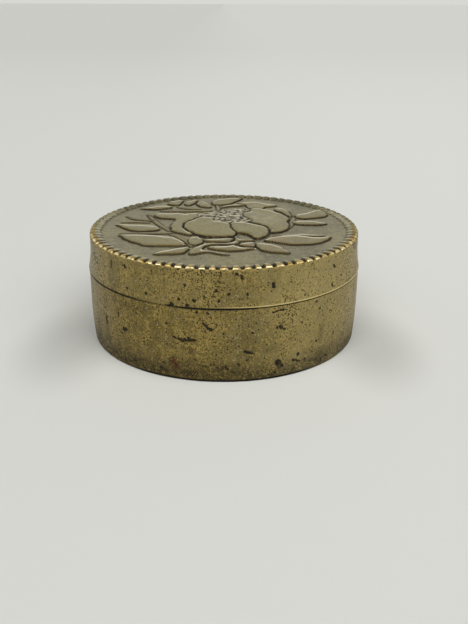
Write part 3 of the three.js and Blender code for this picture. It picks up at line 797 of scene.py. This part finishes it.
def wall_look(graph, colours):
    """Colour, roughness, height and share of stain and painted shadow of the brass on the outside of the
    walls.
    """
    arc = graph.math("ARCTAN2", graph.x, graph.y * -1) * ARC_RADIUS
    height = graph.z * 1000
    cloud = graph.noise(16 * MM, 4.0)
    blotch = graph.noise(4.5 * MM, 5.0, 0.62)
    grain = graph.noise(0.85 * MM, 3.0, 0.7)
    streak = graph.noise(2.6 * MM, 3.0, 0.6, stretch=(1, 1, 0.16))
    sand = graph.noise(0.46 * MM, 1.0, 0.5)
    mottle = cloud * 0.5 + blotch * 0.6 + streak * 0.2 + grain * 0.6 + sand * 0.5
    tarnish = graph.step(mottle, 1.06, 1.34)
    glint = graph.step(grain * 0.6 + sand * 0.4 + (blotch - 0.5) * 0.4, 0.54, 0.66)

    # The right of the front and the lid's wall are paler, and the left is greyer.
    ahead = graph.step(abs(arc), 128.0, 90.0)
    upper = graph.step(height, SEAM - 1, SEAM + 1)
    paler = graph.step(arc + (blotch - 0.5) * 20, -4.0, 26.0)
    paler = paler * (1 - 0.4 * graph.step(arc, 30.0, 50.0)) * ahead
    colour = graph.paint(
        graph.mix(tarnish, colours.brass, colours.patina),
        (glint * 0.5, GLINT),
        (graph.largest(paler * (0.38 + 0.12 * upper), upper * 0.14), PALE_BRASS),
        (graph.step(arc, -30.0, -56.0) * ahead * 0.3, GREY_BRASS),
    )

    # Dirt at the foot, pits, the marks with frayed edges, and a painted shadow along the front of the foot.
    low = graph.step(height + (blotch - 0.5) * 10 + (cloud - 0.5) * 10, 9.5, 1.5)
    foot = low * graph.step(blotch * 0.4 + grain * 0.6 + sand * 0.5, 0.6, 0.76)
    dark = graph.largest(
        graph.step(blotch, 0.34, 0.22) * 0.6,
        graph.step(sand + (cloud - 0.5) * 0.6 + (blotch - 0.5) * 0.6, 0.42, 0.34) * 0.85,
    )
    pits = graph.largest(
        graph.specks(0.8 * MM, 0.5, 0.33 * MM),
        graph.specks(2.3 * MM, 0.2, 0.45 * MM),
        graph.specks(1.3 * MM, 0.55, 0.45 * MM) * low,
    )
    pits = pits * graph.largest(graph.step(cloud + (blotch - 0.5) * 0.5, 0.4, 0.56), low)
    frayed = (grain - 0.5) * 0.5 + (blotch - 0.5) * 0.3 + (sand - 0.5) * 0.7
    place = graph.node("ShaderNodeCombineXYZ", {0: arc, 1: height})
    scratches = graph.step(marks_on(graph, place, WALL_MARKS) + frayed * 1.2, 0.1, -0.06)
    broken = graph.step(grain * 0.6 + sand * 0.4, 0.42, 0.54)
    scratches = scratches * (1 - broken * (0.1 + 0.5 * low))
    hatch = graph.step(marks_on(graph, place, HATCH) + frayed * 0.3, 0.13, 0.03)
    smears = graph.step(marks_on(graph, place, SMEARS) + frayed * 3.0, 0.6, -1.2)
    # Painted shadow where the front of the foot meets the surface.
    contact_shadow = graph.step(height, 0.95, 0.7) * graph.step(abs(arc), 50.0, 20.0)
    stain = graph.largest(foot * 0.7, dark, pits * 0.95, scratches * 0.99, hatch * 0.95, smears * 0.35,
                          contact_shadow)

    # The seam is a dark gap that is wider in places, with a lit rim over it on the right.
    seam = SEAM + (cloud - 0.5) * 0.3
    left = graph.step(arc, -20.0, -30.0) * ahead
    middle = graph.step(abs(arc + 3), 14.0, 8.0)
    right = graph.step(arc, -6.0, 6.0) * ahead
    thick = 0.2 + left * 0.16 + middle * 0.14
    gap = graph.step(abs(height - seam) - thick, 0.1, -0.1)
    gap = gap * (0.6 + 0.4 * graph.largest(left, middle, right))
    rim = graph.step(abs(height - seam - 0.42), 0.22, 0.06) * right * graph.step(grain, 0.25, 0.45)
    stain = graph.largest(stain * (1 - rim), gap * 0.97)
    rust = graph.step(marks_on(graph, place, RUST_SPOT) + frayed, 0.4, -0.6) * (1 - scratches)
    colour = graph.paint(colour, (rim * 0.8, SEAM_LIGHT), (rust * 0.85, RUST), (stain, colours.stain))
    rough = 0.34 + 0.14 * tarnish + 0.3 * stain + 0.1 * (grain - 0.5)
    relief = blotch * 0.5 + grain * 0.35 - pits * 0.6 - scratches * 0.8 - foot * 0.2
    return colour, rough, relief, stain


def outside_material(colours):
    """Tarnished brass of the walls."""
    graph = Graph(bpy.data.materials.new("tarnished_brass"))
    colour, rough, relief, stain = wall_look(graph, colours)
    skin = graph.bump(relief, 0.09 * MM)
    graph.shade(Base_Color=colour, Roughness=rough, Metallic=1 - 0.3 * stain, Normal=skin)
    return graph.material


def lid_material(colours, border):
    """Brass of the lid's face: bright on the border's rubbed edge, with painted light at its front and
    painted shade along its back, and dark with dirt and painted shade in the chased lines.
    """
    graph = Graph(bpy.data.materials.new("chased_brass"))
    radius = graph.radius() * 1000
    x, y = graph.x * 1000, graph.y * 1000
    crown = border.crown
    lobe = graph.attribute("lobe")
    line = graph.attribute("line")
    bed = graph.attribute("bed")
    cloud = graph.noise(19 * MM, 4.0)
    blotch = graph.noise(3.5 * MM, 5.0, 0.6)
    grain = graph.noise(0.7 * MM, 3.0, 0.6)

    # The field and the forms, with the stamens' pale strands, whose polish is partly painted highlight.
    strand = graph.step(graph.attribute("ripple") + (grain - 0.5) * 0.8, -0.35, 0.15)
    strand = strand * (1 - graph.specks(2 * MM, 0.45, 0.55 * MM))
    colour = graph.paint(
        graph.mix(graph.step(cloud * 0.7 + blotch * 0.3, 0.38, 0.62), FIELD_DARK, FIELD_LIGHT),
        (graph.attribute("raised") * 0.8, FORM_BRASS),
        (graph.step(grain, 0.52, 0.66) * 0.7, GRAIN_LIGHT),
        (graph.step(grain * 0.6 + blotch * 0.4, 0.47, 0.36) * 0.75, GRAIN_DARK),
        # Painted warm shade on the forms' slopes that face the front.
        (graph.attribute("front") * 0.9, FRONT_SLOPE_SHADE),
        # Painted highlight along the back edges of the forms.
        (graph.attribute("rim") * 0.85, PALE_POLISH_AND_HIGHLIGHT),
        (bed * strand, graph.mix(grain, STRAND_DULL, PALE_POLISH_AND_HIGHLIGHT)),
    )
    patches = [(*patch, 0.3, colours.copper) for patch in COPPER_PATCHES]
    for across, along, reach, share, shade in (*patches, (13, 9, 11, 0.45, PETAL_PALE)):
        away = graph.math("SQRT", (x - across) ** 2.0 + (y - along) ** 2.0)
        spot = graph.step(away + (blotch - 0.5) * 14, reach, reach * 0.3)
        colour = graph.mix(spot * share * (0.4 + graph.step(blotch, 0.48, 0.6)), colour, shade)
    # Dirt in the chased lines, hollows and stamen gaps, with painted shade on steep slopes that face the
    # front and on the teeth's sides.
    dust_and_shade = graph.largest(line, graph.attribute("hollow") * 0.8, bed * (1 - strand))
    pits = graph.specks(2.6 * MM, 0.35, 0.3 * MM) * 0.8
    # Painted highlight on the teeth's inner ends at the front.
    end = lobe * graph.step(radius, crown - 1.6, crown - 2.1) * graph.step(y, 26.0, 6.0)
    colour = graph.paint(colour, (end * 0.55, TOOTH_END_HIGHLIGHT), (graph.largest(dust_and_shade * 0.97, pits), colours.stain))
    rough = 0.33 + 0.1 * (cloud - 0.5) + 0.08 * grain + 0.3 * dust_and_shade
    relief = blotch * 0.3 + grain * 0.3 - pits * 0.5

    # The border: rubbed gold at the front, brightened there as painted light, and dark along its back edge as
    # painted shade.
    ragged = radius + (blotch - 0.5) * 0.4
    tooth = graph.step(ragged, crown - 2.1, crown - 1.4) * lobe
    lit_front = graph.step(y + (cloud - 0.5) * 24, 8.0, -16.0)
    worn_and_lit_gold = graph.mix(graph.step(grain, 0.35, 0.65), TOOTH_DARK, TOOTH_GOLD)
    outer = graph.step(ragged, crown - 1.0, crown - 0.5)
    back_edge_shade = graph.step(ragged, crown - 0.75, crown - 0.3) * (0.35 + 0.65 * lobe)
    # The notch lips are polished; their bright colour is kept to the front as a painted highlight.
    lip = graph.step(radius, crown - 0.85, crown - 0.6) * graph.step(lobe, 0.5, 0.9)
    gleam = lip * graph.step(blotch + (grain - 0.5) * 0.5, 0.34, 0.56) * lit_front
    colour = graph.paint(
        colour,
        (tooth * (1 - line) * lit_front * 0.95, worn_and_lit_gold),
        (back_edge_shade * (1 - lit_front) * 0.85, BACK_EDGE_SHADE),
        (outer * (1 - lobe) * lit_front * 0.7, NOTCH_GOLD),
        (gleam, colours.bright),
    )
    rough = rough + tooth * 0.08 + outer * (1 - lobe) * 0.15 - gleam * 0.16

    # Below the rounded edge the plate looks like the wall.
    side_colour, side_rough, side_relief, side_stain = wall_look(graph, colours)
    side = graph.step(graph.attribute("shoulder") + (grain - 0.5) * 0.8, 0.6, 0.3)
    colour = graph.mix(side, colour, side_colour)
    rough = rough + (side_rough - rough) * side
    relief = relief + (side_relief - relief) * side
    metal = 1 - 0.4 * graph.largest(dust_and_shade, pits) * (1 - side) - 0.3 * side_stain * side
    graph.shade(Base_Color=colour, Roughness=rough, Metallic=metal, Normal=graph.bump(relief, 0.05 * MM))
    return graph.material


def inside_material(colours):
    """Duller turned brass of the faces that the closed box hides."""
    graph = Graph(bpy.data.materials.new("turned_brass"))
    position = graph.node("ShaderNodeCombineXYZ", {0: graph.radius() * 3000, 1: graph.z * 3000})
    lines = graph.node("ShaderNodeTexNoise", {"Vector": position, "Scale": 1.0, "Detail": 2.0})
    cloud = graph.noise(12 * MM, 4.0)
    blotch = graph.noise(3 * MM, 4.0)
    pits = graph.specks(1.8 * MM, 0.3, 0.3 * MM)
    colour = graph.mix(graph.step(cloud * 0.6 + blotch * 0.5, 0.4, 0.7), TURNED_LIGHT, TURNED_DARK)
    colour = graph.mix(pits * 0.7, colour, colours.stain)
    rough = 0.36 + 0.16 * lines + 0.2 * pits
    graph.shade(Base_Color=colour, Roughness=rough, Metallic=0.95, Normal=graph.bump(lines - pits, 0.02 * MM))
    return graph.material


def solder_material(colours):
    """Grey solder with a wrinkled skin."""
    graph = Graph(bpy.data.materials.new("dull_solder"))
    skin = graph.noise(1.2 * MM, 3.0)
    cloud = graph.noise(5 * MM, 3.0)
    colour = graph.mix(graph.step(cloud, 0.35, 0.7), colours.solder, SOLDER_DARK)
    rough = 0.45 + 0.25 * skin
    graph.shade(Base_Color=colour, Roughness=rough, Metallic=0.85, Normal=graph.bump(skin, 0.08 * MM))
    return graph.material


def material(name, make, *arguments):
    """The material of the given name, made once."""
    return bpy.data.materials.get(name) or make(*arguments)


def millimetres(group):
    """The numbers of a property group, its lengths in millimetres."""
    values = {}
    for name, prop in group.bl_rna.properties.items():
        if prop.type in ("FLOAT", "INT"):
            value = getattr(group, name)
            values[name] = value / MM if prop.unit == "LENGTH" else value
    return SimpleNamespace(**values)


def finishes(context):
    """The materials of the whole box, made when the first piece asks for them."""
    colours = context.scene.brass_box_finish
    border = millimetres(context.scene.brass_box_border)
    return {
        "outside": material("tarnished_brass", outside_material, colours),
        "lid": material("chased_brass", lid_material, colours, border),
        "inside": material("turned_brass", inside_material, colours),
        "solder": material("dull_solder", solder_material, colours),
    }


def faces_inwards(face):
    """True where a face of a wall looks at the axis, or lies on the step inside the seam."""
    outwards = Vector((face.center.x, face.center.y, 0)).normalized()
    return face.normal.dot(outwards) < -0.5 or face.center.to_2d().length < STEP_RADIUS


def eased(radius, height, ease, from_angle, to_angle, steps=4):
    """Points of a rounded edge about the centre given, from one angle to another in degrees."""
    turns = [math.radians(from_angle + (to_angle - from_angle) * i / steps) for i in range(steps + 1)]
    return [(radius + ease * math.cos(turn), height + ease * math.sin(turn)) for turn in turns]


def bowed(radius, bow, reach, low, high, steps):
    """Points up a wall that bows out at its foot and is even above, closer together low down.

    The reach is the height of the foot and the height over which the bow fades.
    """
    foot, fade = reach
    heights = [low + (high - low) * (i / steps) ** 1.2 for i in range(steps + 1)]
    return [(radius + bow * max(0, 1 - (z - foot) / fade) ** 2, z) for z in heights]


class BRASSBOX_OT_box_wall(bpy.types.Operator):
    """Make the wall of the box, curved in to its foot"""

    bl_idname = "brassbox.box_wall"
    bl_label = "Box wall"

    def execute(self, context):
        sizes = context.scene.brass_box_walls
        seam = BOX_WALL_HIGH.z
        outer = sizes.box_radius
        foot, ease = sizes.foot_round, sizes.seam_round
        high = seam - ease
        wall = bowed(outer, -sizes.foot_inset, (0, sizes.tuck_height), foot, high, 16)
        profile = [(BOX_BORE, 0), (BOX_BORE, seam), *eased(outer - ease, high, ease, 90, 10)]
        profile += [*reversed(wall), *eased(wall[0][0] - foot, foot, foot, -10, -90)]
        piece = turn_piece("tarnished_box_wall", profile, sizes.steps)
        make_uneven(piece, outer - 1 * MM)
        finish_piece(piece, "box", ["box_wall"], "outside", "inside", faces_inwards)
        return {"FINISHED"}


class BRASSBOX_OT_base_plate(bpy.types.Operator):
    """Make the plate let into the foot of the box"""

    bl_idname = "brassbox.base_plate"
    bl_label = "Base plate"

    def execute(self, context):
        radius = BOX_BORE - BORE_GAP
        ease = 0.2 * MM
        top = BASE_HIGH.z
        profile = [(radius - ease, 0), (radius, ease), (radius, top - ease), (radius - ease, top)]
        piece = turn_piece("turned_base_plate", profile, context.scene.brass_box_walls.steps, ring=False)
        finish_piece(piece, "box", ["base_plate"], "inside")
        return {"FINISHED"}


class BRASSBOX_OT_inner_collar(bpy.types.Operator):
    """Make the collar that the lid slips over"""

    bl_idname = "brassbox.inner_collar"
    bl_label = "Inner collar"

    def execute(self, context):
        outer = BOX_BORE - BORE_GAP
        inner = outer - COLLAR_THICKNESS
        low, high = COLLAR_LOW.z, COLLAR_HIGH.z
        ease = 0.3 * MM
        profile = [(inner, low), (outer, low), *eased(outer - ease, high - ease, ease, 0, 90),
                   *eased(inner + ease / 2, high - ease / 2, ease / 2, 90, 180)]
        piece = turn_piece("turned_inner_collar", profile, context.scene.brass_box_walls.steps)
        finish_piece(piece, "box", ["inner_collar"], "inside")
        return {"FINISHED"}


class BRASSBOX_OT_lid_wall(bpy.types.Operator):
    """Make the wall of the lid, flared a little at its mouth"""

    bl_idname = "brassbox.lid_wall"
    bl_label = "Lid wall"

    def execute(self, context):
        sizes = context.scene.brass_box_walls
        crown = context.scene.brass_box_border.crown
        low, high = LID_WALL_LOW.z, LID_WALL_HIGH.z
        ease = sizes.seam_round
        wall = bowed(crown, sizes.mouth_radius - crown, (low, sizes.flare_height), low + ease, high, 12)
        profile = [(LID_BORE, high), (LID_BORE, low)]
        profile += [*eased(wall[0][0] - ease, low + ease, ease, -90, -10), *wall]
        piece = turn_piece("tarnished_lid_wall", profile, sizes.steps)
        make_uneven(piece, crown - 1 * MM)
        finish_piece(piece, "lid", ["lid_wall"], "outside", "inside", faces_inwards)
        return {"FINISHED"}


def square_to_disc(u, v):
    """How far out each point of a square lies, and its angle once the square is a disc."""
    reach = np.maximum(np.abs(u), np.abs(v))
    wide = np.abs(u) >= np.abs(v)
    outward = np.where(wide, u, v)
    slant = np.where(wide, v, u) / np.where(reach > 0, outward, 1)
    angle = np.where(wide, slant * math.pi / 4, math.pi / 2 - slant * math.pi / 4)
    return reach, angle + np.where(outward < 0, math.pi, 0)


def plate_face(radius, angle, turn, border, sizes):
    """Height of the plate's face in millimetres above its field, and the marks that its finish follows."""
    x, y = radius * np.cos(angle), radius * np.sin(angle)
    height, line, lobe, bed, rim, ripple = np.zeros((6, len(x)))
    field = radius < DRAWN_FIELD
    found = relief_heights(x[field], y[field], sizes)
    height[field], line[field], bed[field], rim[field], ripple[field] = found
    edge = radius > DRAWN_FIELD - 0.5
    raised, lobe[edge], pit_dirt_and_shade = border_height(radius[edge], angle[edge], turn[edge], border)
    height[edge] += raised
    line[edge] = np.maximum(line[edge], pit_dirt_and_shade)
    raised = np.clip(height / 0.8, 0, 1) * (radius < border.crown - border.width)
    return height, {"line": line, "lobe": lobe, "raised": raised, "bed": bed, "rim": rim, "ripple": ripple}


def mark_slopes(marks, normals, radius, angle, border):
    """Adds painted shade to the marks on steep slopes that don't face the back, on the teeth's sides and on
    the stamen bed's front slopes, and marks the slopes that face the front for a painted warm shade.
    """
    right, back, upright = normals.T
    # Painted shade on steep slopes, left off those that face the back.
    flank_shade = smooth(1 - np.abs(upright), 0.08, 0.2) * (radius < border.crown - border.width - 0.2)
    flank_shade *= 1 - np.clip(6 * back, 0, 1)
    # Painted shade on the sides of the teeth, darker towards the front.
    across = np.abs(np.cos(angle) * back - np.sin(angle) * right)
    teeth = (radius > DRAWN_FIELD - 0.5) * (radius < border.crown - 0.7)
    side = teeth * (0.08 + 0.82 * smooth(front_share(angle), 0.2, 0.8))
    flank_shade = np.maximum(flank_shade, side * smooth(across, 0.35, 0.7))
    # Painted shade on the stamen bed's slopes that face the front.
    under = (marks["bed"] > 0) * smooth(-back, 0.2, 0.5)
    marks["line"] = np.maximum(np.maximum(marks["line"], under), flank_shade)
    marks["bed"] = marks["bed"] * (1 - under)
    # Painted warm shade on the forms' slopes that face the front.
    marks["front"] = np.clip(-6 * back, 0, 1) * (marks["raised"] > 0.18) * (1 - marks["bed"])


class BRASSBOX_OT_lid_plate(bpy.types.Operator):
    """Make the lid's plate with its notched border and chased flower spray"""

    bl_idname = "brassbox.lid_plate"
    bl_label = "Lid plate"

    def execute(self, context):
        border = millimetres(context.scene.brass_box_border)
        sizes = millimetres(context.scene.brass_box_relief)
        deselect()
        bpy.ops.mesh.primitive_grid_add(x_subdivisions=PLATE_CELLS, y_subdivisions=PLATE_CELLS, size=2,
                                        location=(0, 0, 0))
        piece = named("chased_lid_plate")
        mesh = piece.data
        u, v = vertex_rows(mesh, "co")[:, :2].T
        reach, angle = square_to_disc(u, v)
        rings = PLATE_CELLS // 2
        ring = np.rint((1 - reach) * rings).astype(int)
        radii, turns = ring_radii(rings, border)
        radius, turn = radii[ring], turns[ring]
        height, marks = plate_face(radius, angle, turn, border, sizes)
        face = LID_WALL_HIGH.z / MM + sizes.flange
        places = np.stack([radius * np.cos(angle), radius * np.sin(angle), face + height], axis=1)
        move_vertices(mesh, places * MM)
        order = np.lexsort((np.rint(u * rings), np.rint(v * rings)))
        grid = height[order].reshape(2 * rings + 1, -1)
        hollow = np.zeros(len(height))
        hollow[order] = ((blurred(grid, 3) - grid) / HOLLOW_DEPTH).ravel()
        marks["hollow"] = np.clip(hollow, 0, 1)
        marks["shoulder"] = smooth(turn, math.radians(22), math.radians(42))
        mark_slopes(marks, vertex_rows(mesh, "normal"), radius, angle, border)
        for name, values in marks.items():
            mesh.attributes.new(name, "FLOAT", "POINT").data.foreach_set("value", values.astype(np.float32))

        # The rim goes down to the top of the wall, in to the bore and down to the end of the spigot.
        bpy.ops.object.mode_set(mode="EDIT")
        bpy.ops.mesh.select_all(action="SELECT")
        bpy.ops.mesh.region_to_loop()
        low = LID_WALL_HIGH.z
        bpy.ops.mesh.extrude_region_move(TRANSFORM_OT_translate={"value": (0, 0, -0.2 * MM)})
        bpy.ops.transform.resize(value=(1, 1, 0), center_override=(0, 0, low))
        for factor, drop in ((SPIGOT_RADIUS / MM / border.crown, 0), (1, -SPIGOT_DEPTH)):
            bpy.ops.mesh.extrude_region_move(TRANSFORM_OT_translate={"value": (0, 0, drop)})
            bpy.ops.transform.resize(value=(factor, factor, 1), center_override=(0, 0, low + drop))
        bpy.ops.mesh.edge_face_add()
        bpy.ops.mesh.select_all(action="SELECT")
        bpy.ops.mesh.normals_make_consistent(inside=False)
        bpy.ops.object.mode_set(mode="OBJECT")
        bpy.ops.object.shade_smooth_by_angle(angle=CHASED_ANGLE)
        finish_piece(piece, "lid", ["lid_plate"], "lid", "inside",
                     lambda face: face.normal.z < -0.7)
        return {"FINISHED"}


class BRASSBOX_OT_solder(bpy.types.Operator):
    """Make the solder run round each inside corner"""

    bl_idname = "brassbox.solder"
    bl_label = "Solder runs"

    def execute(self, context):
        runs = (
            ("base_solder", "box", BOX_BORE, BASE_HIGH.z, 1),
            ("collar_solder", "box", BOX_BORE, COLLAR_LOW.z, -1),
            ("lid_solder", "lid", LID_BORE, LID_WALL_HIGH.z - SPIGOT_DEPTH, -1),
        )
        leg = SOLDER_LEG
        steps = context.scene.brass_box_walls.steps
        for node, body, bore, corner, way in runs:
            hollow = [(bore - leg + leg * math.sin(t), corner + way * (leg - leg * math.cos(t)))
                      for t in np.radians(range(0, 91, 18))]
            piece = turn_piece(f"wiped_{node}", [(bore, corner), *hollow], steps)
            finish_piece(piece, body, [node], "solder")
        return {"FINISHED"}


class BRASSBOX_OT_stage(bpy.types.Operator):
    """Make the surface, the light and the camera"""

    bl_idname = "brassbox.stage"
    bl_label = "Stage"

    def execute(self, context):
        scene = context.scene
        stage = scene.brass_box_stage
        scene.view_settings.view_transform = "Standard"
        deselect()
        bpy.ops.mesh.primitive_plane_add(size=FLOOR_SIZE, location=(0, 0, 0))
        floor = named("pale_surface")
        paper = Graph(bpy.data.materials.new("pale_surface"), "Principled BSDF")
        fibre = paper.noise(0.6 * MM, 3.0)
        darker, lighter = ([c * factor for c in stage.surface] for factor in (0.99, 1.01))
        colour = paper.mix(fibre, darker, lighter)
        shade = paper.step(paper.x, 0.16, -0.2) * 0.07 + paper.step(paper.y, 0.2, 1.8) * 0.08
        colour = paper.mix(shade, colour, BLACK)
        # The soft shade on either side of the foot.
        for x, y in ((-0.049, -0.016), (0.046, -0.018)):
            away = paper.vector("DISTANCE", paper.stretched((1, 0.55, 1)), (x, y * 0.55, 0))
            colour = paper.mix(paper.step(away, 0.021, 0.003) * 0.24, colour, BLACK)
        paper.shade(Base_Color=colour, Roughness=0.8)
        floor.data.materials.append(paper.material)
        world = scene.world or bpy.data.worlds.new("studio")
        scene.world = world
        sky = Graph(world, "Background", "Generated")
        bright = sky.step(sky.z, stage.ceiling_edge + 0.2, stage.ceiling_edge - 0.2)
        kinds = ("Camera", "Glossy", "Transmission")
        camera_ray, *others = (sky.node("ShaderNodeLightPath", output=f"Is {kind} Ray") for kind in kinds)
        seen = sum(others, camera_ray)
        room = stage.ceiling + (1 - stage.ceiling) * bright
        sky.shade(Color=(*stage.backdrop, 1), Strength=room * (stage.fill + (1 - stage.fill) * seen))
        bpy.ops.object.light_add(type="SUN", location=(0.1, -0.3, 1))
        lamp = named("soft_lamp")
        lamp.data.energy = stage.lamp_strength
        lamp.data.angle = stage.lamp_angle
        lamp.rotation_euler = Vector((-0.14, 0.7, -1)).to_track_quat("-Z", "Y").to_euler()
        lamp.visible_glossy = False
        place = Vector((0, -0.25, 0.85))
        bpy.ops.object.light_add(type="AREA", location=place)
        strip = named("strip_lamp")
        strip.data.shape = "RECTANGLE"
        strip.data.size, strip.data.size_y = 2.4, 0.12
        strip.data.energy = stage.strip_power
        strip.visible_diffuse = False
        strip.rotation_euler = (-place).to_track_quat("-Z", "Y").to_euler()
        camera = bpy.data.objects.new("camera", bpy.data.cameras.new("camera"))
        scene.collection.objects.link(camera)
        camera.data.sensor_width = 36
        camera.data.lens = stage.lens
        camera.data.clip_start = 0.01
        down, yaw, roll = stage.pitch, stage.yaw, stage.roll
        ahead = Vector((math.sin(yaw) * math.cos(down), math.cos(yaw) * math.cos(down), -math.sin(down)))
        right = ahead.cross(Vector((0, 0, 1))).normalized()
        up = right.cross(ahead)
        turned = right * math.cos(roll) + up * math.sin(roll)
        upright = up * math.cos(roll) - right * math.sin(roll)
        axes = Matrix((turned, upright, -ahead)).transposed().to_4x4()
        place = Vector((0, -math.cos(stage.elevation), math.sin(stage.elevation))) * stage.distance
        camera.matrix_world = Matrix.Translation(place) @ axes
        scene.camera = camera
        return {"FINISHED"}


OPERATORS = (BRASSBOX_OT_stage, BRASSBOX_OT_box_wall, BRASSBOX_OT_base_plate, BRASSBOX_OT_inner_collar,
             BRASSBOX_OT_solder, BRASSBOX_OT_lid_wall, BRASSBOX_OT_lid_plate)
GROUPS = {"brass_box_walls": WallSizes, "brass_box_border": BorderSizes, "brass_box_relief": ReliefSizes,
          "brass_box_finish": FinishColours, "brass_box_stage": StageSettings}


class BRASSBOX_PT_panel(bpy.types.Panel):
    """Sizes, colours and pieces of the brass box"""

    bl_idname = "BRASSBOX_PT_panel"
    bl_label = "Brass box"
    bl_space_type = "VIEW_3D"
    bl_region_type = "UI"
    bl_category = "Brass box"

    def draw(self, context):
        for name, group in GROUPS.items():
            column = self.layout.column(heading=name.replace("brass_box_", "").title())
            for prop in group.__annotations__:
                column.prop(getattr(context.scene, name), prop)
        for operator in OPERATORS:
            self.layout.operator(operator.bl_idname)


def register():
    for group in GROUPS.values():
        bpy.utils.register_class(group)
    for name, group in GROUPS.items():
        setattr(bpy.types.Scene, name, bpy.props.PointerProperty(type=group))
    for part in (*OPERATORS, BRASSBOX_PT_panel):
        bpy.utils.register_class(part)


def unregister():
    for part in (BRASSBOX_PT_panel, *reversed(OPERATORS)):
        bpy.utils.unregister_class(part)
    for name in GROUPS:
        delattr(bpy.types.Scene, name)
    for group in reversed(GROUPS.values()):
        bpy.utils.unregister_class(group)


def main():
    register()
    for operator in OPERATORS:
        getattr(bpy.ops.brassbox, operator.bl_idname.split(".")[1])()


if __name__ == "__main__":
    main()
